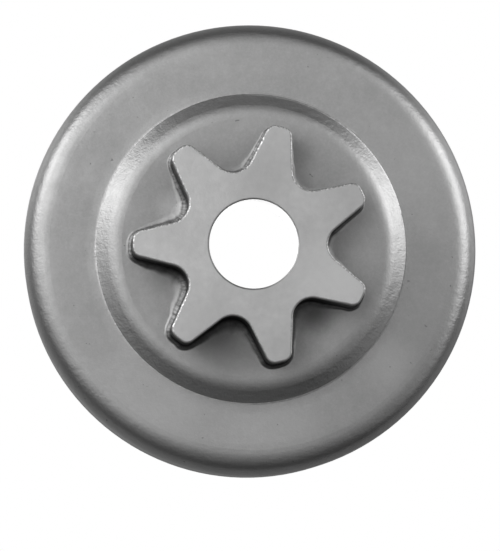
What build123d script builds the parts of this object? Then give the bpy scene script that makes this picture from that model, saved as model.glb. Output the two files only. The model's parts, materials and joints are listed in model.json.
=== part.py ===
"""Clutch drum with a spur sprocket for a small chainsaw, in millimetres, standing on its open rim."""
import os
from math import cos, isclose, radians, sin, tan

from build123d import *

# sprocket
TOOTH_COUNT = 7
TIP_RADIUS = 17.6
ROOT_RADIUS = 10.8
SEAT_RADIUS = 2.9
FLANK_ANGLE = 14.3
TIP_ROUND = 1.4
TOOTH_HEIGHT = 6.8
TOOTH_EDGE_BREAK = 0.2
BORE_DIAMETER = 13.0
BORE_CHAMFER = 0.15

# spigot that passes through the floor of the drum, and the braze that holds it
SPIGOT_WALL = 2.5
SPIGOT_PROUD = 2.0
SPIGOT_CHAMFER = 0.4
BRAZE_GAP = 0.05
BRAZE_FILLET = 0.9

# pressed drum
SHOE_DIAMETER = 62.6
SHEET = 2.2
DRUM_DEPTH = 17.0
CORNER_INSIDE_RADIUS = 1.6
PLATEAU_RISE = 1.9
PLATEAU_MARGIN = 0.6
PLATEAU_SLOPE = 36.0
SHOULDER_INSIDE_RADIUS = 1.2
CREASE_RADIUS = 0.8
RIM_BREAK = 0.3

# pair of notches in the rim that drive the oil pump
NOTCH_WIDTH = 5.0
NOTCH_DEPTH = 5.0
NOTCH_ROUND = 1.0

# sizes that follow from the ones above
DRUM_RADIUS = SHOE_DIAMETER / 2 + SHEET
PLATEAU_Z = DRUM_DEPTH + PLATEAU_RISE
TOP_Z = PLATEAU_Z + TOOTH_HEIGHT
SPIGOT_RADIUS = BORE_DIAMETER / 2 + SPIGOT_WALL
SPIGOT_END_Z = PLATEAU_Z - SHEET - SPIGOT_PROUD
PLATEAU_FLAT_RADIUS = TIP_RADIUS + BRAZE_FILLET + PLATEAU_MARGIN


def drum_face():
    """Outer line of the pressed sheet, from the spigot hole over the plateau and down to the rim."""
    shoulder = SHOULDER_INSIDE_RADIUS + SHEET
    corner = CORNER_INSIDE_RADIUS + SHEET
    shoulder_x = PLATEAU_FLAT_RADIUS + shoulder * tan(radians(PLATEAU_SLOPE / 2))
    foot_x = shoulder_x + PLATEAU_RISE / tan(radians(PLATEAU_SLOPE))
    points = [
        (SPIGOT_RADIUS + BRAZE_GAP, PLATEAU_Z),
        (shoulder_x, PLATEAU_Z),
        (foot_x, DRUM_DEPTH),
        (DRUM_RADIUS, DRUM_DEPTH),
        (DRUM_RADIUS, 0),
    ]
    return FilletPolyline(*points, radius=[shoulder, CREASE_RADIUS, corner])


def clutch_drum():
    """Cup drawn from one sheet, with a raised plateau, a hole for the spigot and a notched rim."""
    section = make_face(offset(drum_face(), SHEET, side=Side.RIGHT))
    drum = revolve(Plane.XZ * section, Axis.Z)
    rim_edges = drum.edges().group_by(Axis.Z)[0]
    drum = chamfer(rim_edges, RIM_BREAK)
    notch = RectangleRounded(NOTCH_WIDTH, 2 * NOTCH_DEPTH, NOTCH_ROUND)
    return drum - extrude(Plane.YZ * notch, DRUM_RADIUS, both=True)


def tooth_gap():
    """Outline of the space between two teeth: a round seat for the chain, opening along straight flanks."""
    half_angle = radians(180 / TOOTH_COUNT + FLANK_ANGLE)
    seat_x = ROOT_RADIUS + SEAT_RADIUS
    side_x = seat_x - SEAT_RADIUS * sin(half_angle)
    side_y = SEAT_RADIUS * cos(half_angle)
    mouth_x = 2 * TIP_RADIUS
    mouth_y = side_y + (mouth_x - side_x) * tan(half_angle)
    seat = ThreePointArc((side_x, side_y), (ROOT_RADIUS, 0), (side_x, -side_y))
    flanks = Polyline((side_x, -side_y), (mouth_x, -mouth_y), (mouth_x, mouth_y), (side_x, side_y))
    return make_face(seat + flanks)


def tooth_outline():
    """Outline of all the teeth, with a gap towards +X and the tooth tips rounded."""
    outline = Circle(TIP_RADIUS) - PolarLocations(0, TOOTH_COUNT) * tooth_gap()
    tips = outline.vertices().filter_by(lambda v: v.center().length > TIP_RADIUS - TIP_ROUND / 2)
    return fillet(tips, TIP_ROUND)


def spur_sprocket():
    """Toothed ring that stands on the plateau with a braze fillet at its foot and a spigot below."""
    bed = Pos(Z=PLATEAU_Z) * Cylinder(2 * TIP_RADIUS, SHEET, align=(Align.CENTER, Align.CENTER, Align.MAX))
    joined = bed + extrude(Pos(Z=PLATEAU_Z) * tooth_outline(), TOOTH_HEIGHT)
    foot = joined.edges().filter_by_position(Axis.Z, PLATEAU_Z, PLATEAU_Z)
    foot = foot.filter_by(lambda e: e.bounding_box().size.X < 3 * TIP_RADIUS)
    joined = fillet(foot, BRAZE_FILLET)
    joined = chamfer(joined.edges().group_by(Axis.Z)[-1], TOOTH_EDGE_BREAK)
    toothed = joined - bed
    low_end = Pos(Z=SPIGOT_END_Z)
    low_align = (Align.CENTER, Align.CENTER, Align.MIN)
    spigot = low_end * Cylinder(SPIGOT_RADIUS, PLATEAU_Z - SPIGOT_END_Z, align=low_align)
    spigot = chamfer(spigot.edges().group_by(Axis.Z)[0], SPIGOT_CHAMFER)
    bore = low_end * Cylinder(BORE_DIAMETER / 2, TOP_Z - SPIGOT_END_Z, align=low_align)
    sprocket = toothed + spigot - bore
    mouths = sprocket.edges().filter_by(GeomType.CIRCLE)
    mouths = mouths.filter_by(lambda e: isclose(e.radius, BORE_DIAMETER / 2))
    return chamfer(mouths, BORE_CHAMFER)


os.makedirs("parts", exist_ok=True)
export_step(clutch_drum(), "parts/clutch_drum.step")
export_step(spur_sprocket(), "parts/spur_sprocket.step")
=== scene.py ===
import json
from math import atan2, cos, pi, radians, sin, sqrt

import bmesh
import bpy
from mathutils import Matrix, Vector, noise


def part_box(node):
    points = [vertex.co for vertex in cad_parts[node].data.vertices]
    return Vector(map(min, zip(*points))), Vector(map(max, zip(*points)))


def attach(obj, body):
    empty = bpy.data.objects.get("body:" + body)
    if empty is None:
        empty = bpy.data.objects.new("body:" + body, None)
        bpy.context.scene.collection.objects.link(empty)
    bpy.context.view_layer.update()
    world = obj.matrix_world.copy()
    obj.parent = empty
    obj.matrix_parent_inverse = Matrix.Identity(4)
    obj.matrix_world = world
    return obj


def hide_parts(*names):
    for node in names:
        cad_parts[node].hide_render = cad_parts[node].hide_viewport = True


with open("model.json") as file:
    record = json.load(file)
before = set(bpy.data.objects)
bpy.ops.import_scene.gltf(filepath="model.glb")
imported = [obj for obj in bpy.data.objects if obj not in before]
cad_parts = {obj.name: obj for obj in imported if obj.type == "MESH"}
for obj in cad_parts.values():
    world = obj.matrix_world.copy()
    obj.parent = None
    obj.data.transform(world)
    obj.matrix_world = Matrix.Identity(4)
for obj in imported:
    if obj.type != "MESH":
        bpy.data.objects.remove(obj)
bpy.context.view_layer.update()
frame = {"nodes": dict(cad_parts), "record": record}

MM = 0.001

# levels and sizes read from the frame
PLATEAU_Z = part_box("clutch_drum")[1].z
TOP_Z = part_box("spur_sprocket")[1].z
SPIGOT_END_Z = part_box("spur_sprocket")[0].z
BORE_RADIUS = next(m for m in frame["record"]["mounts"] if m["name"] == "needle_bore")["dims"]["r_mm"] * MM

# sprocket outline
TOOTH_COUNT = 7
TIP_RADIUS = 17.6 * MM
ROOT_RADIUS = 10.8 * MM
SEAT_RADIUS = 2.9 * MM
FLANK_ANGLE = radians(14.3)
TIP_ROUND = 1.4 * MM
OUTLINE_STEP = 0.11 * MM
LEAST_STEPS = 4
MIRROR_WELD = 1e-7
GAP_WELD = 1e-6

# top edge of the teeth, worn round and ragged, and the rings of the flanks below it
TOP_INSET = 0.7 * MM
EDGE_INSET = 0.32 * MM
EDGE_BREAK = 0.17 * MM
EDGE_WEAR = 0.07 * MM
EDGE_STEPS = 3
EDGE_RAGGED = 0.13 * MM
EDGE_GRAIN = 0.35 * MM
EDGE_SHADE_FILL = 0.9
WALL_RINGS = 6

# braze at the foot of the teeth, heavier on one side, and the thin wash that runs out from it
BRAZE_TIP = 0.6 * MM
BRAZE_ROOT = 0.95 * MM
BRAZE_MEAN = 0.8
BRAZE_LEAN = 0.31
BRAZE_HEAVY_SIDE = radians(215)
BRAZE_SWELL = 0.2
BRAZE_SWELL_SIZE = 1.6 * MM
BRAZE_RIPPLE = 0.08
BRAZE_RIPPLE_SIZE = 0.4 * MM
BRAZE_STEPS = 7
BRAZE_TURN = radians(79)
WASH_TIP = 0.2 * MM
WASH_ROOT = 1.3 * MM
WASH_DEPTH = 0.13 * MM
WASH_STEPS = 7

# compass sides that set the painted light on faces turned towards −X, the painted shade on faces turned
# towards −Y and on the lower teeth, and where the braze's painted shade fades towards +X
LIT_SIDE = radians(165)
LIT_GAIN = 1.7
LIT_START = 0.6
SHADED_SIDE = radians(285)
SHADED_GAIN = 1.5
SHADED_FOOT = radians(270)
FOOT_SHARE = 0.5
SHADE_FADE_SIDE = radians(20)
SHADE_FADE_SHARE = 0.5

# bore and spigot
BORE_CHAMFER = 0.15 * MM
SPIGOT_RADIUS = 9.0 * MM
SPIGOT_CHAMFER = 0.4 * MM
LATHE_STEPS = 180
SHARP_ANGLE = radians(38)

# marks on the sprocket's mesh that its material reads, two of them where it paints light and shade
MARKS = (
    "edge_mark",
    "flank_mark",
    "braze_mark",
    "toe_mark",
    "wash_mark",
    "painted_light_mark",
    "painted_shade_mark",
    "run",
)

# camera
CAMERA_TILT = radians(4.6)
CAMERA_SIDE = radians(236.4)
CAMERA_DISTANCE = 0.590
CAMERA_LENS = 263.2
CAMERA_SENSOR = 36
CAMERA_AIM = Vector((-0.00032, -0.00423, 0.020))

# light tent; a lamp behind its cloth has a name, a compass side, height and spread in degrees, and a strength
TENT_RADIUS = 0.25
TENT_CENTRE = Vector((0, 0, 0.017))
TENT_SEGMENTS = 64
LAMPS = [
    ("left_low", 152, 19, 28, 1.85),
    ("left_high", 162, 39, 58, 0.86),
    ("right_low", 19, 19, 40, 2.15),
    ("right_side", -22, 23, 39, 0.28),
    ("right_high", 45, 38, 38, 0.42),
    ("back_high", 90, 38, 38, 0.26),
    ("overhead", 153, 79, 113, 0.335),
    ("key", 150, 62, 20, 2.5),
]

# floor, and the glow under the bore that fades out across the drum
FLOOR_SIZE = 3.0
FLOOR_GAP = 0.02 * MM
FLOOR_MIRROR = 0.294
FLOOR_ROUGHNESS = 0.1
FLOOR_GLOW = 0.124
BORE_GLOW = 1.9
BORE_GLOW_RADIUS = 29 * MM

# bends of the drum, where the sheet was drawn over the die
SLOPE_START = 19.2 * MM
SLOPE_END = 22.9 * MM
SLOPE_FADE = 0.3 * MM
CORNER_START = 29.7 * MM
CORNER_LEAD = 1.0 * MM
BEND_FADE = 2.2 * MM
CREASE_MIDDLE = 22.82 * MM
CREASE_HALF = 0.24 * MM
CREASE_TAIL = 1.8 * MM

# level of the drum's outer face, and the depths under it between which its relief fades out
FACE_Z = 17 * MM
FACE_SKIN = 0.25 * MM
FACE_SLACK = 0.05 * MM

# fineness of the noise in the steel, and the spans of its value that are stretched from 0 to 1
DRAW_MARKS = 90
SHEAR_MARKS = 3000
SHEAR_STRETCH = 0.06
MARK_DETAIL = 3.0
NOISE_ROUGHNESS = 0.55
NOISE_SPAN = (0.3, 0.7)
NICK_SPAN = (0.73, 0.77)

# grey tones of the pressed sheet, how strongly each is laid on, and how rough it is
SHEET_TONES = (0.44, 0.54)
SHEET_GRAIN_TONE = 0.66
SHEET_GRAIN_SHARE = 0.35
SHEET_MOTTLE_TONE = 0.45
SHEET_MOTTLE_SHARE = 0.5
SHEET_ROUGHNESS = (0.58, 0.52)
BEND_POLISH = 0.22
NICK_TONE = 0.3

# grey tones of the sprocket, how strongly each is laid on, and how rough it is; some are painted light and
# painted shade
TOP_TONES = (0.66, 0.8)
TOP_MOTTLE_TONE = 0.56
TOP_MOTTLE_SHARE = 0.3
FLANK_TONES = (0.03, 0.12)
# painted shade on the flanks turned towards −Y
FLANK_SHADE_TONE = 0.01
BRAZE_TONES = (0.12, 0.25)
# painted light on the braze turned towards −X
LIT_BRAZE_TONES = (0.12, 0.38)
# painted shade on the braze turned towards −Y
BRAZE_SHADE_TONES = (0.05, 0.09)
# painted light and painted shade on the wash film, on the same sides
FILM_TONE = 0.8
FILM_SHARE = 0.15
FILM_SHADE_SHARE = 0.9
# painted shade: dark line along the braze's toe
TOE_TONE = 0.08
TOE_SHARES = (0.2, 0.8)
EDGE_TONES = (0.45, 0.95)
EDGE_BRIGHT_SPAN = (0.4, 0.9)
# painted shade on the edges turned towards −Y
EDGE_SHADE_TONE = 0.5
# painted shade line round the mouth of the bore, heavier towards −X
MOUTH_TONE = 0.1
MOUTH_SHARES = (0.15, 0.7)
MOUTH_FAINT_X = 4.55 * MM
MOUTH_HEAVY_X = -1.3 * MM
SPROCKET_ROUGHNESS = 0.47
CLOUD_POLISH = 0.04
EDGE_POLISH = 0.1
BRAZE_POLISH = 0.1

# height of the relief in the steel, in millimetres
SHEET_MOTTLE_RELIEF = 0.011
SHEET_GRAIN_RELIEF = 0.006
BEND_MOTTLE_RELIEF = 0.013
BEND_GRAIN_RELIEF = 0.008
DRAW_RELIEF = 0.014
CREASE_RELIEF = 0.043
TAIL_RELIEF = 0.13
CORNER_RELIEF = 0.045
SPROCKET_MOTTLE_RELIEF = 0.009
SPROCKET_GRAIN_RELIEF = 0.005
BRAZE_RELIEF = 0.025
SHEAR_RELIEF = 0.02

# darker and paler patches: place across the part and reach in millimetres, strength and tone
DRUM_TONE_AND_SHADOW_PATCHES = [
    (25, -13, 17, 0.35, 0.38),
    (-16, -24, 20, 0.5, 0.68),
    (3, -27, 13, 0.4, 0.7),
    (20, -17, 6, 0.35, 0.7),
    (23, 12, 13, 0.22, 0.7),
    (26, -1, 5, 0.25, 0.35),
    # the next four patches are painted shadow on the gap floors beside the teeth's walls
    (-4.2, -14, 6.5, 0.7, 0.22),
    (9.2, -9.8, 4.5, 0.8, 0.12),
    (7, 14, 3.6, 0.3, 0.25),
    (-13, -4.5, 4, 0.4, 0.25),
    (-11.2, 5.6, 4, 0.6, 0.85),
]
TOP_TONE_AND_LIGHT_PATCHES = [
    # painted light on the top of the teeth towards +X and −Y
    (13, -6, 11, 0.6, 0.95),
    (1, 10, 8, 0.4, 0.5),
]


def compass(side, height=0.0):
    """Direction that points to a compass side, raised by an angle above the level."""
    return Vector((cos(side) * cos(height), sin(side) * cos(height), sin(height)))


def clamp(value):
    """Value held between 0 and 1."""
    return min(1, max(0, value))


def link_object(name, mesh):
    """New object at the origin that shows a mesh."""
    piece = bpy.data.objects.new(name, mesh)
    bpy.context.scene.collection.objects.link(piece)
    return piece


def mesh_from(bm, name):
    """Turn a finished bmesh into a mesh."""
    mesh = bpy.data.meshes.new(name)
    bm.to_mesh(mesh)
    bm.free()
    return mesh


def plug(tree, socket, value):
    """Link an output to an input socket, or set the input's own value."""
    if isinstance(value, bpy.types.NodeSocket):
        tree.links.new(value, socket)
    else:
        socket.default_value = value


def add_node(tree, kind, **inputs):
    """Add a node and fill its named inputs: a socket is linked, anything else is its value."""
    made = tree.nodes.new(kind)
    for name, value in inputs.items():
        plug(tree, made.inputs[name], value)
    return made


def object_place(tree):
    """Place on the piece, in its own coordinates."""
    return add_node(tree, "ShaderNodeTexCoord").outputs["Object"]


def attribute_node(tree, name):
    """Value of a named mark on the mesh."""
    made = tree.nodes.new("ShaderNodeAttribute")
    made.attribute_name = name
    return made.outputs["Fac"]


def math_node(tree, operation, first, second=0.0):
    """Math node with its two inputs, and its output."""
    made = tree.nodes.new("ShaderNodeMath")
    made.operation = operation
    plug(tree, made.inputs[0], first)
    plug(tree, made.inputs[1], second)
    return made.outputs[0]


def vector_node(tree, operation, first, second=(0, 0, 0)):
    """Vector Math node with its two inputs."""
    made = tree.nodes.new("ShaderNodeVectorMath")
    made.operation = operation
    plug(tree, made.inputs[0], first)
    plug(tree, made.inputs[1], second)
    return made


def square(tree, value):
    """Value times itself."""
    return math_node(tree, "MULTIPLY", value, value)


def weighted_sum(tree, parts, start=0.0):
    """Sum of values, each times its weight, added to a start."""
    total = start
    for value, weight in parts:
        total = math_node(tree, "ADD", math_node(tree, "MULTIPLY", value, weight), total)
    return total


def remap(tree, value, low, high, to_low, to_high, smooth=False):
    """Map Range node from one span to another."""
    made = add_node(tree, "ShaderNodeMapRange", Value=value)
    made.interpolation_type = "SMOOTHSTEP" if smooth else "LINEAR"
    for place, number in enumerate((low, high, to_low, to_high), start=1):
        plug(tree, made.inputs[place], number)
    return made.outputs[0]


def across(tree, place):
    """Place with its height taken off, and its distance from the bore's axis."""
    flat = vector_node(tree, "MULTIPLY", place, (1, 1, 0)).outputs[0]
    return flat, vector_node(tree, "LENGTH", flat).outputs["Value"]


def noise_node(tree, place, scale, detail=2.0):
    """Noise of a given scale per metre, and its value."""
    made = add_node(tree, "ShaderNodeTexNoise", Vector=place, Scale=scale, Detail=detail)
    plug(tree, made.inputs["Roughness"], NOISE_ROUGHNESS)
    return made.outputs[0]


def blend_tone(tree, factor, dark, light):
    """Grey between two tones."""
    made = tree.nodes.new("ShaderNodeMix")
    made.data_type = "RGBA"
    plug(tree, made.inputs["Factor"], factor)
    for socket, tone in (("A", dark), ("B", light)):
        value = tone if isinstance(tone, bpy.types.NodeSocket) else (tone, tone, tone, 1)
        plug(tree, made.inputs[socket], value)
    return made.outputs["Result"]


def lay_tone(tree, mask, share, tone, other):
    """Lay another tone over a tone, as strongly as a mask times a share."""
    return blend_tone(tree, math_node(tree, "MULTIPLY", mask, share), tone, other)


def mix_shader(tree, factor, first, second):
    """Mix of two shaders."""
    made = tree.nodes.new("ShaderNodeMixShader")
    for socket, source in enumerate((factor, first, second)):
        plug(tree, made.inputs[socket], source)
    return made.outputs[0]


def bare_material(name):
    """Material with an empty node tree, and that tree."""
    material = bpy.data.materials.new(name)
    material.use_nodes = True
    material.node_tree.nodes.clear()
    return material, material.node_tree


def add_camera():
    """Long lens that looks almost straight down, leaning a little to the lower left."""
    back = compass(CAMERA_SIDE, pi / 2 - CAMERA_TILT)
    right = Vector((0, 1, 0)).cross(back).normalized()
    turn = Matrix((right, back.cross(right), back)).transposed()
    data = bpy.data.cameras.new("photo_camera")
    data.lens = CAMERA_LENS
    data.sensor_width = CAMERA_SENSOR
    camera = bpy.data.objects.new("photo_camera", data)
    camera.matrix_world = Matrix.Translation(CAMERA_AIM + back * CAMERA_DISTANCE) @ turn.to_4x4()
    bpy.context.scene.collection.objects.link(camera)
    bpy.context.scene.camera = camera


def tent_cloth():
    """Cloth lit by soft lamps behind it, each a round glow that fades out over its spread."""
    material, tree = bare_material("tent_cloth")
    toward = vector_node(tree, "NORMALIZE", object_place(tree)).outputs[0]
    total = 0.0
    for name, side, height, spread, strength in LAMPS:
        lamp = vector_node(tree, "DOT_PRODUCT", toward, compass(radians(side), radians(height)))
        lamp.label = name
        angle = math_node(tree, "ARCCOSINE", lamp.outputs["Value"])
        glow = remap(tree, angle, radians(spread), 0.0, 0.0, strength, smooth=True)
        total = math_node(tree, "ADD", glow, total)
    light = add_node(tree, "ShaderNodeEmission", Strength=total)
    add_node(tree, "ShaderNodeOutputMaterial", Surface=light.outputs[0])
    return material


def add_light():
    """Round light tent about the part, which the camera looks through, in a white room."""
    bm = bmesh.new()
    bmesh.ops.create_uvsphere(bm, u_segments=TENT_SEGMENTS, v_segments=TENT_SEGMENTS // 2, radius=TENT_RADIUS)
    mesh = mesh_from(bm, "light_tent")
    mesh.materials.append(tent_cloth())
    tent = link_object("light_tent", mesh)
    tent.location = TENT_CENTRE
    tent.visible_camera = False
    world = bpy.data.worlds.new("white_room")
    world.use_nodes = True
    world.node_tree.nodes["Background"].inputs["Color"].default_value = (1, 1, 1, 1)
    bpy.context.scene.world = world
    bpy.context.scene.view_settings.view_transform = "Standard"


def pale_floor():
    """White to the camera, clear from below, and to the part a grey table that glows under the bore."""
    material, tree = bare_material("pale_floor")
    reach = vector_node(tree, "LENGTH", object_place(tree)).outputs["Value"]
    under = remap(tree, reach, BORE_RADIUS, BORE_GLOW_RADIUS, BORE_GLOW, FLOOR_GLOW)
    shine = (FLOOR_MIRROR, FLOOR_MIRROR, FLOOR_MIRROR, 1)
    mirror = add_node(tree, "ShaderNodeBsdfGlossy", Color=shine, Roughness=FLOOR_ROUGHNESS)
    glow = add_node(tree, "ShaderNodeEmission", Strength=under)
    table = tree.nodes.new("ShaderNodeAddShader")
    plug(tree, table.inputs[0], mirror.outputs[0])
    plug(tree, table.inputs[1], glow.outputs[0])
    white = add_node(tree, "ShaderNodeEmission", Color=(1, 1, 1, 1))
    clear = add_node(tree, "ShaderNodeBsdfTransparent")
    below = add_node(tree, "ShaderNodeNewGeometry").outputs["Backfacing"]
    seen = mix_shader(tree, below, white.outputs[0], clear.outputs[0])
    path = add_node(tree, "ShaderNodeLightPath")
    both = mix_shader(tree, path.outputs["Is Camera Ray"], table.outputs[0], seen)
    add_node(tree, "ShaderNodeOutputMaterial", Surface=both)
    return material


def add_floor():
    """Wide flat floor just under the rim."""
    bm = bmesh.new()
    bmesh.ops.create_grid(bm, x_segments=1, y_segments=1, size=FLOOR_SIZE)
    mesh = mesh_from(bm, "floor")
    mesh.materials.append(pale_floor())
    floor = link_object("floor", mesh)
    floor.location.z = -FLOOR_GAP


def trace_half_gap(bm):
    """Half of one gap as a line of edges: round seat, straight flank, tip corner and half a tip."""
    lean = pi / TOOTH_COUNT + FLANK_ANGLE
    flank = Vector((cos(lean), sin(lean), 0))
    inward = Vector((-sin(lean), cos(lean), 0))
    seat = Vector((ROOT_RADIUS + SEAT_RADIUS, 0, 0))
    flank_start = seat + inward * SEAT_RADIUS
    beside = inward.dot(flank_start) + TIP_ROUND
    corner = inward * beside + flank * sqrt((TIP_RADIUS - TIP_ROUND) ** 2 - beside ** 2)
    corner_side = atan2(corner.y, corner.x)
    flank_length = flank.dot(corner - flank_start)
    turns = [
        (seat, SEAT_RADIUS, lean - pi / 2),
        (None, flank_length, 0),
        (corner, TIP_ROUND, corner_side + pi / 2 - lean),
        (Vector((0, 0, 0)), TIP_RADIUS, pi / TOOTH_COUNT - corner_side),
    ]
    end = bm.verts.new((ROOT_RADIUS, 0, 0))
    for centre, size, angle in turns:
        length = size * abs(angle) if centre else size
        steps = max(LEAST_STEPS, round(length / OUTLINE_STEP))
        slide = Vector((0, 0, 0)) if centre else flank * (flank_length / steps)
        middle = centre if centre else end.co
        spun = bmesh.ops.spin(
            bm,
            geom=[end],
            cent=middle,
            axis=(0, 0, 1),
            dvec=slide,
            angle=angle,
            steps=steps,
            use_merge=False,
        )
        end = next(v for v in spun["geom_last"] if isinstance(v, bmesh.types.BMVert))


def trace_teeth(bm):
    """Outline of all the teeth as vertices in order, anticlockwise."""
    trace_half_gap(bm)
    half = bm.verts[:] + bm.edges[:]
    bmesh.ops.mirror(bm, geom=half, matrix=Matrix.Identity(4), merge_dist=MIRROR_WELD, axis="Y")
    bmesh.ops.spin(
        bm,
        geom=bm.verts[:] + bm.edges[:],
        cent=(0, 0, 0),
        axis=(0, 0, 1),
        angle=2 * pi * (TOOTH_COUNT - 1) / TOOTH_COUNT,
        steps=TOOTH_COUNT - 1,
        use_duplicate=True,
    )
    bmesh.ops.remove_doubles(bm, verts=bm.verts[:], dist=GAP_WELD)
    bm.verts.ensure_lookup_table()
    ring = [bm.verts[0]]
    edge = ring[0].link_edges[0]
    while edge.other_vert(ring[-1]) is not ring[0]:
        ring.append(edge.other_vert(ring[-1]))
        edge = next(e for e in ring[-1].link_edges if e is not edge)
    if ring[0].co.cross(ring[1].co).z < 0:
        ring.reverse()
    return ring


def ring_edges(ring):
    """Edges between neighbours in a closed ring of vertices."""
    members = set(ring)
    touching = dict.fromkeys(edge for vert in ring for edge in vert.link_edges)
    return [edge for edge in touching if members.issuperset(edge.verts)]


def write_marks(bm, ring, name, values):
    """Write a value to each vertex of a ring."""
    layer = bm.verts.layers.float[name]
    for vert, value in zip(ring, values):
        vert[layer] = value


def next_ring(bm, ring, places, **marks):
    """Extrude a ring, put its new vertices in place and write their marks; other marks carry over."""
    made = bmesh.ops.extrude_edge_only(bm, edges=ring_edges(ring))["geom"]
    fresh = {v for v in made if isinstance(v, bmesh.types.BMVert)}
    new = [next(e.other_vert(v) for e in v.link_edges if e.other_vert(v) in fresh) for v in ring]
    for vert, place in zip(new, places):
        vert.co = place
    for name, value in marks.items():
        write_marks(bm, new, name, [value] * len(new))
    return new


def outward_from(outline):
    """Level direction that points out of the teeth at each outline point."""
    following = outline[1:] + outline[:1]
    previous = outline[-1:] + outline[:-1]
    along = [after - before for after, before in zip(following, previous)]
    return [Vector((step.y, -step.x, 0)).normalized() for step in along]


def painted_light_and_shade(outline, outward):
    """How far each outline point gets painted light, painted shade, and painted shade at its braze, from 0 to
    1.
    """
    painted_light = [clamp(LIT_GAIN * n.dot(compass(LIT_SIDE)) - LIT_START) for n in outward]
    turned = [SHADED_GAIN * n.dot(compass(SHADED_SIDE)) for n in outward]
    near_foot = [FOOT_SHARE * max(0, p.dot(compass(SHADED_FOOT))) / TIP_RADIUS for p in outline]
    shade_share = [clamp(t + f) for t, f in zip(turned, near_foot)]
    shade_fade = [SHADE_FADE_SHARE * max(0, p.dot(compass(SHADE_FADE_SIDE))) / TIP_RADIUS for p in outline]
    braze_shade = [s * (1 - c) for s, c in zip(shade_share, shade_fade)]
    return painted_light, shade_share, braze_shade


def edge_breaks(outline, painted_light, shade_share):
    """Size of the worn top edge at each outline point: larger where it gets painted light, less ragged where
    it gets painted shade.
    """
    open_grain = [1 - EDGE_SHADE_FILL * s for s in shade_share]
    ragged = [EDGE_RAGGED * g * noise.noise(p / EDGE_GRAIN) for g, p in zip(open_grain, outline)]
    return [EDGE_BREAK + EDGE_WEAR * w + r for w, r in zip(painted_light, ragged)]


def braze_and_wash(outline):
    """How far the braze and its wash reach from each outline point, uneven and heavier on one side."""
    depth = [(TIP_RADIUS - p.length) / (TIP_RADIUS - ROOT_RADIUS) for p in outline]
    heavy = [BRAZE_MEAN + BRAZE_LEAN * p.normalized().dot(compass(BRAZE_HEAVY_SIDE)) for p in outline]
    swell = [h * (1 + BRAZE_SWELL * noise.noise(p / BRAZE_SWELL_SIZE)) for h, p in zip(heavy, outline)]
    ripple = [1 + BRAZE_RIPPLE * noise.noise(p / BRAZE_RIPPLE_SIZE) for p in outline]
    even = [(BRAZE_TIP + (BRAZE_ROOT - BRAZE_TIP) * d) * k for d, k in zip(depth, swell)]
    braze = [e * r for e, r in zip(even, ripple)]
    film = [(WASH_TIP + (WASH_ROOT - WASH_TIP) * d ** 2) * k for d, k in zip(depth, swell)]
    wash = [e + f for e, f in zip(even, film)]
    return braze, wash


def edge_rings(bm, ring, placed, breaks, shade_share):
    """Border of the top face and its rounded edge."""
    count = len(ring)
    ring = next_ring(bm, ring, placed([-EDGE_INSET] * count, [TOP_Z] * count))
    for step in range(EDGE_STEPS + 1):
        turn = pi / 2 * step / EDGE_STEPS
        offsets = [-b * (1 - sin(turn)) for b in breaks]
        heights = [TOP_Z - b * (1 - cos(turn)) for b in breaks]
        ring = next_ring(bm, ring, placed(offsets, heights), edge_mark=1)
        # mark where the edge gets painted shade
        write_marks(bm, ring, "painted_shade_mark", shade_share)
    return ring


def flank_rings(bm, ring, placed, breaks, braze):
    """Straight flanks from the edge down to the braze, with the way along the outline marked on them."""
    count = len(ring)
    write_marks(bm, ring, "run", [OUTLINE_STEP * place for place in range(count)])
    write_marks(bm, ring, "flank_mark", [1] * count)
    for step in range(1, WALL_RINGS):
        share = step / WALL_RINGS
        heights = [TOP_Z - e - (TOP_Z - e - PLATEAU_Z - b) * share for e, b in zip(breaks, braze)]
        ring = next_ring(bm, ring, placed([0] * count, heights), edge_mark=0)
    return ring


def braze_rings(bm, ring, placed, braze, painted_light, painted_shade):
    """Hollow round of the braze, with its toe marked for a painted shade line."""
    for step in range(BRAZE_STEPS + 1):
        turn = BRAZE_TURN * step / BRAZE_STEPS
        offsets = [b * (1 - cos(turn)) for b in braze]
        heights = [PLATEAU_Z + WASH_DEPTH + (b - WASH_DEPTH) * (1 - sin(turn)) for b in braze]
        ring = next_ring(bm, ring, placed(offsets, heights), braze_mark=1)
        # mark where the braze gets painted light and painted shade
        write_marks(bm, ring, "painted_light_mark", painted_light)
        write_marks(bm, ring, "painted_shade_mark", painted_shade)
    write_marks(bm, ring, "toe_mark", [1] * len(ring))
    return ring


def wash_rings(bm, ring, placed, braze, wash, painted_light, painted_shade):
    """Thin wash of braze that thins out over the plateau."""
    for step in range(1, WASH_STEPS + 1):
        share = step / WASH_STEPS
        offsets = [b * (1 - share) + w * share for b, w in zip(braze, wash)]
        heights = [PLATEAU_Z + WASH_DEPTH * (1 - share) ** 2] * len(ring)
        ring = next_ring(bm, ring, placed(offsets, heights), toe_mark=0, wash_mark=1)
        # mark where the wash gets painted light and painted shade, fading outwards
        write_marks(bm, ring, "painted_light_mark", [w * (1 - share) for w in painted_light])
        write_marks(bm, ring, "painted_shade_mark", [s * (1 - share) for s in painted_shade])
    return ring


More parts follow.
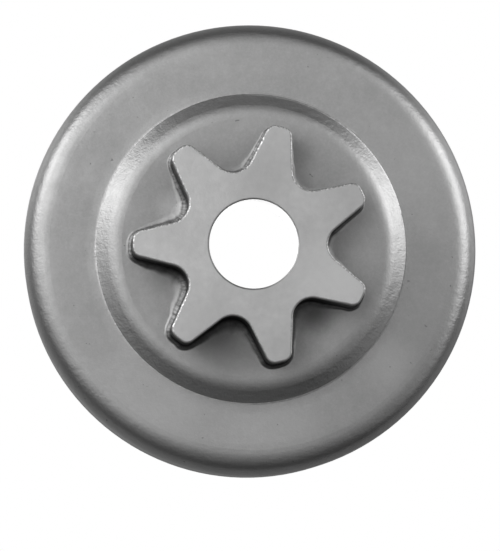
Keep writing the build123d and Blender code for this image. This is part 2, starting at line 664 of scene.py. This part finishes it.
def lathe_bore_and_spigot(bm):
    """Bore wall, its chamfers and the spigot as one turned surface; gives its top ring and its foot ring."""
    profile = [
        (BORE_RADIUS + BORE_CHAMFER, TOP_Z),
        (BORE_RADIUS, TOP_Z - BORE_CHAMFER),
        (BORE_RADIUS, SPIGOT_END_Z + BORE_CHAMFER),
        (BORE_RADIUS + BORE_CHAMFER, SPIGOT_END_Z),
        (SPIGOT_RADIUS - SPIGOT_CHAMFER, SPIGOT_END_Z),
        (SPIGOT_RADIUS, SPIGOT_END_Z + SPIGOT_CHAMFER),
        (SPIGOT_RADIUS, PLATEAU_Z),
    ]
    before = set(bm.verts)
    line = [bm.verts.new((radius, 0, height)) for radius, height in profile]
    edges = [bm.edges.new(pair) for pair in zip(line, line[1:])]
    bmesh.ops.spin(
        bm,
        geom=line + edges,
        cent=(0, 0, 0),
        axis=(0, 0, 1),
        angle=2 * pi,
        steps=LATHE_STEPS,
        use_merge=True,
    )
    turned = [v for v in bm.verts if v not in before]
    top = [v for v in turned if abs(v.co.z - TOP_Z) < BORE_CHAMFER / 2]
    foot = [v for v in turned if abs(v.co.z - PLATEAU_Z) < BORE_CHAMFER / 2]
    return top, foot


def model_sprocket():
    """Toothed ring with ragged burnished edges and a lumpy braze at its foot, over a turned spigot."""
    bm = bmesh.new()
    for name in MARKS:
        bm.verts.layers.float.new(name)
    first = trace_teeth(bm)
    outline = [vert.co.copy() for vert in first]
    outward = outward_from(outline)
    # masks of painted light on faces turned towards −X and painted shade on faces turned towards −Y
    painted_light, shade_share, braze_shade = painted_light_and_shade(outline, outward)
    breaks = edge_breaks(outline, painted_light, shade_share)
    braze, wash = braze_and_wash(outline)

    def placed(offsets, heights):
        return [p + n * o + Vector((0, 0, h)) for p, n, o, h in zip(outline, outward, offsets, heights)]

    for vert, place in zip(first, placed([-TOP_INSET] * len(first), [TOP_Z] * len(first))):
        vert.co = place
    ring = edge_rings(bm, first, placed, breaks, shade_share)
    ring = flank_rings(bm, ring, placed, breaks, braze)
    ring = braze_rings(bm, ring, placed, braze, painted_light, braze_shade)
    ring = wash_rings(bm, ring, placed, braze, wash, painted_light, braze_shade)
    top, foot = lathe_bore_and_spigot(bm)
    for outer, inner, facing in ((first, top, 1), (ring, foot, -1)):
        border = ring_edges(outer) + ring_edges(inner)
        bmesh.ops.triangle_fill(bm, edges=border, use_beauty=True, normal=(0, 0, facing))
    bmesh.ops.recalc_face_normals(bm, faces=bm.faces[:])
    mesh = mesh_from(bm, "toothed_ring")
    mesh.shade_smooth()
    mesh.set_sharp_from_angle(angle=SHARP_ANGLE)
    mesh.materials.append(sprocket_steel())
    piece = link_object("toothed_ring", mesh)
    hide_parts("spur_sprocket")
    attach(piece, "root")


def make_group(name, inputs, outputs):
    """Empty node group with a place, float inputs that hold their own values, and float outputs."""
    tree = bpy.data.node_groups.new(name, "ShaderNodeTree")
    tree.interface.new_socket("Place", in_out="INPUT", socket_type="NodeSocketVector")
    for label, value in inputs:
        made = tree.interface.new_socket(label, in_out="INPUT", socket_type="NodeSocketFloat")
        made.default_value = value
    for label in outputs:
        tree.interface.new_socket(label, in_out="OUTPUT", socket_type="NodeSocketFloat")
    entry = tree.nodes.new("NodeGroupInput").outputs
    leave = tree.nodes.new("NodeGroupOutput").inputs
    return tree, entry, leave


def satin_skin_group():
    """Tumbled satin steel: soft clouds, a mottle of about a millimetre, a fine grain and a few nicks."""
    inputs = [("Clouds", 120), ("Mottle", 900), ("Grain", 3200), ("Nicks", 1100)]
    tree, entry, leave = make_group("satin_skin", inputs, ("Cloud", "Mottle", "Grain", "Nick"))
    layers = [
        ("Cloud", "Clouds", 4.0, NOISE_SPAN),
        ("Mottle", "Mottle", 3.0, NOISE_SPAN),
        ("Grain", "Grain", 2.0, NOISE_SPAN),
        ("Nick", "Nicks", 2.0, NICK_SPAN),
    ]
    for label, scale, detail, span in layers:
        value = noise_node(tree, entry["Place"], entry[scale], detail)
        plug(tree, leave[label], remap(tree, value, *span, 0, 1))
    return tree


def start_steel(name):
    """Metal material with its tree and shader, the place on the piece, and the satin skin's outputs."""
    material = bpy.data.materials.new(name)
    material.use_nodes = True
    tree = material.node_tree
    shader = tree.nodes["Principled BSDF"]
    shader.inputs["Metallic"].default_value = 1
    place = object_place(tree)
    skin = tree.nodes.new("ShaderNodeGroup")
    skin.node_tree = SATIN_SKIN
    plug(tree, skin.inputs["Place"], place)
    return material, tree, shader, place, skin.outputs


def add_bump(tree, shader, height):
    """Relief on a shader, its height in millimetres."""
    bump = add_node(tree, "ShaderNodeBump", Strength=1.0, Distance=1 * MM, Height=height)
    plug(tree, shader.inputs["Normal"], bump.outputs[0])


def add_patches(tree, place, tone, patches):
    """Lay soft round patches of other tones over a tone."""
    flat, _ = across(tree, place)
    for x, y, reach, strength, other in patches:
        away = vector_node(tree, "DISTANCE", flat, (x * MM, y * MM, 0)).outputs["Value"]
        tone = blend_tone(tree, remap(tree, away, reach * MM, 0, 0, strength, smooth=True), tone, other)
    return tone


def sheet_finish(tree, place, skin):
    """Tone and roughness of the pressed sheet, clouded, with darker and paler patches, painted shadow beside
    the teeth among them, and nicks.
    """
    tone = blend_tone(tree, skin["Cloud"], *SHEET_TONES)
    tone = lay_tone(tree, skin["Grain"], SHEET_GRAIN_SHARE, tone, SHEET_GRAIN_TONE)
    tone = lay_tone(tree, skin["Mottle"], SHEET_MOTTLE_SHARE, tone, SHEET_MOTTLE_TONE)
    # among the patches, painted shadow on the gap floors beside the teeth
    tone = add_patches(tree, place, tone, DRUM_TONE_AND_SHADOW_PATCHES)
    tone = blend_tone(tree, skin["Nick"], tone, NICK_TONE)
    return tone, remap(tree, skin["Cloud"], 0, 1, *SHEET_ROUGHNESS)


def bend_mask(tree, reach):
    """Mask of the plateau's slope and the drum's corner."""
    slope_in = remap(tree, reach, SLOPE_START, SLOPE_START + BEND_FADE, 0, 1, smooth=True)
    slope_out = remap(tree, reach, SLOPE_END, SLOPE_END + SLOPE_FADE, 1, 0)
    corner = remap(tree, reach, CORNER_START, CORNER_START + BEND_FADE, 0, 1, smooth=True)
    return math_node(tree, "MAXIMUM", math_node(tree, "MULTIPLY", slope_in, slope_out), corner)


def pressed_relief(tree, place, reach):
    """Soft set of the outer face next to the crease and the corner, as the press leaves it."""
    off_crease = math_node(tree, "ABSOLUTE", math_node(tree, "SUBTRACT", reach, CREASE_MIDDLE))
    crisp = square(tree, remap(tree, off_crease, 0, CREASE_HALF, 1, 0))
    tail = square(tree, remap(tree, reach, CREASE_MIDDLE, CREASE_MIDDLE + CREASE_TAIL, 1, 0))
    droop_end = CORNER_START + CORNER_LEAD / 2
    droop = remap(tree, reach, CORNER_START - CORNER_LEAD, droop_end, 1, 0, smooth=True)
    pressed = weighted_sum(tree, ((crisp, -CREASE_RELIEF), (tail, TAIL_RELIEF), (droop, CORNER_RELIEF)))
    height = add_node(tree, "ShaderNodeSeparateXYZ", Vector=place).outputs["Z"]
    outside = remap(tree, height, FACE_Z - FACE_SKIN, FACE_Z - FACE_SLACK, 0, 1)
    return math_node(tree, "MULTIPLY", pressed, outside)


def drum_steel():
    """Pressed sheet: mid grey satin with clouds, and fine draw marks across its bends."""
    material, tree, shader, place, skin = start_steel("drum_satin")
    mottle, grain = skin["Mottle"], skin["Grain"]
    flat, reach = across(tree, place)
    bends = bend_mask(tree, reach)
    tone, clouded = sheet_finish(tree, place, skin)
    plug(tree, shader.inputs["Base Color"], tone)
    plug(tree, shader.inputs["Roughness"], weighted_sum(tree, ((clouded, 1.0), (bends, -BEND_POLISH))))
    ray = vector_node(tree, "NORMALIZE", flat).outputs[0]
    drawn = noise_node(tree, ray, DRAW_MARKS, MARK_DETAIL)
    uneven = ((drawn, DRAW_RELIEF), (mottle, BEND_MOTTLE_RELIEF), (grain, BEND_GRAIN_RELIEF))
    middle = sum(height for _, height in uneven) / 2
    broken = math_node(tree, "MULTIPLY", weighted_sum(tree, uneven, -middle), bends)
    pressed = pressed_relief(tree, place, reach)
    relief = ((mottle, SHEET_MOTTLE_RELIEF), (grain, SHEET_GRAIN_RELIEF), (broken, 1.0), (pressed, 1.0))
    add_bump(tree, shader, weighted_sum(tree, relief))
    return material


def shear_marks(tree, place, run):
    """Streaks down the flanks, as a punch leaves them."""
    height = add_node(tree, "ShaderNodeSeparateXYZ", Vector=place).outputs["Z"]
    stretched = math_node(tree, "MULTIPLY", height, SHEAR_STRETCH)
    along = add_node(tree, "ShaderNodeCombineXYZ", X=run, Y=stretched).outputs[0]
    return remap(tree, noise_node(tree, along, SHEAR_MARKS, MARK_DETAIL), *NOISE_SPAN, 0, 1)


def top_tone(tree, place, skin):
    """Tone of the faced top, with a patch of painted light and a darker patch."""
    tone = blend_tone(tree, skin["Cloud"], *TOP_TONES)
    tone = lay_tone(tree, skin["Mottle"], TOP_MOTTLE_SHARE, tone, TOP_MOTTLE_TONE)
    return add_patches(tree, place, tone, TOP_TONE_AND_LIGHT_PATCHES)


def mouth_shade_line(tree, place):
    """Mask of the painted shade line round the mouth of the bore, heavier on the left."""
    _, reach = across(tree, place)
    axes = add_node(tree, "ShaderNodeSeparateXYZ", Vector=place).outputs
    heavy = remap(tree, axes["X"], MOUTH_FAINT_X, MOUTH_HEAVY_X, *MOUTH_SHARES, smooth=True)
    line = remap(tree, reach, BORE_RADIUS + BORE_CHAMFER, BORE_RADIUS + 2 * BORE_CHAMFER, heavy, 0)
    near_top = remap(tree, axes["Z"], TOP_Z - 2 * BORE_CHAMFER, TOP_Z - BORE_CHAMFER, 0, 1)
    return math_node(tree, "MULTIPLY", line, near_top)


def sprocket_steel():
    """Faced top, dark sheared flanks, bright ragged edges and a rough braze, with painted light on the side
    turned towards −X, painted shade on the side turned towards −Y, and painted shade lines along the braze's
    toe and round the bore's mouth.
    """
    material, tree, shader, place, skin = start_steel("sprocket_satin")
    cloud, mottle, grain = skin["Cloud"], skin["Mottle"], skin["Grain"]
    edge, flank, braze, toe, wash, painted_light, painted_shade, run = (attribute_node(tree, name) for name in MARKS)
    shear = shear_marks(tree, place, run)
    sheet_tone, sheet_rough = sheet_finish(tree, place, skin)
    # painted shade tones for the braze and flanks turned towards −Y
    black = blend_tone(tree, mottle, *BRAZE_SHADE_TONES)
    wall = blend_tone(tree, painted_shade, blend_tone(tree, shear, *FLANK_TONES), FLANK_SHADE_TONE)
    # painted light on the braze turned towards −X, then painted shade on the braze turned towards −Y
    lit_braze = blend_tone(tree, shear, *LIT_BRAZE_TONES)
    metal = blend_tone(tree, painted_light, blend_tone(tree, mottle, *BRAZE_TONES), lit_braze)
    metal = blend_tone(tree, painted_shade, metal, black)
    # the wash film: painted light towards −X, painted shade towards −Y
    film = lay_tone(tree, painted_light, FILM_SHARE, sheet_tone, FILM_TONE)
    film = lay_tone(tree, painted_shade, FILM_SHADE_SHARE, film, black)
    # painted shade line along the braze's toe
    toe_shade_line = math_node(tree, "MULTIPLY", toe, remap(tree, mottle, 0, 1, *TOE_SHARES))
    bright = remap(tree, grain, *EDGE_BRIGHT_SPAN, 0, 1)
    # edges: real burnish, with painted shade on the edges turned towards −Y
    burnish_and_shade = blend_tone(tree, painted_shade, blend_tone(tree, bright, *EDGE_TONES), EDGE_SHADE_TONE)
    coats = [
        (flank, wall),
        (braze, metal),
        (wash, film),
        (toe_shade_line, TOE_TONE),
        (edge, burnish_and_shade),
        (mouth_shade_line(tree, place), MOUTH_TONE),
    ]
    tone = top_tone(tree, place, skin)
    for mask, coat in coats:
        tone = blend_tone(tree, mask, tone, coat)
    plug(tree, shader.inputs["Base Color"], tone)
    polish = ((cloud, -CLOUD_POLISH), (edge, -EDGE_POLISH), (braze, -BRAZE_POLISH))
    finish = weighted_sum(tree, polish, SPROCKET_ROUGHNESS)
    plug(tree, shader.inputs["Roughness"], remap(tree, wash, 0, 1, finish, sheet_rough))
    rough_braze = math_node(tree, "MULTIPLY", grain, math_node(tree, "SUBTRACT", braze, wash))
    rough_flank = math_node(tree, "MULTIPLY", shear, math_node(tree, "SUBTRACT", flank, braze))
    relief = [
        (mottle, SPROCKET_MOTTLE_RELIEF),
        (grain, SPROCKET_GRAIN_RELIEF),
        (rough_braze, BRAZE_RELIEF),
        (rough_flank, SHEAR_RELIEF),
    ]
    add_bump(tree, shader, weighted_sum(tree, relief))
    return material


SATIN_SKIN = satin_skin_group()
add_camera()
add_light()
add_floor()
frame["nodes"]["clutch_drum"].data.materials[0] = drum_steel()
model_sprocket()
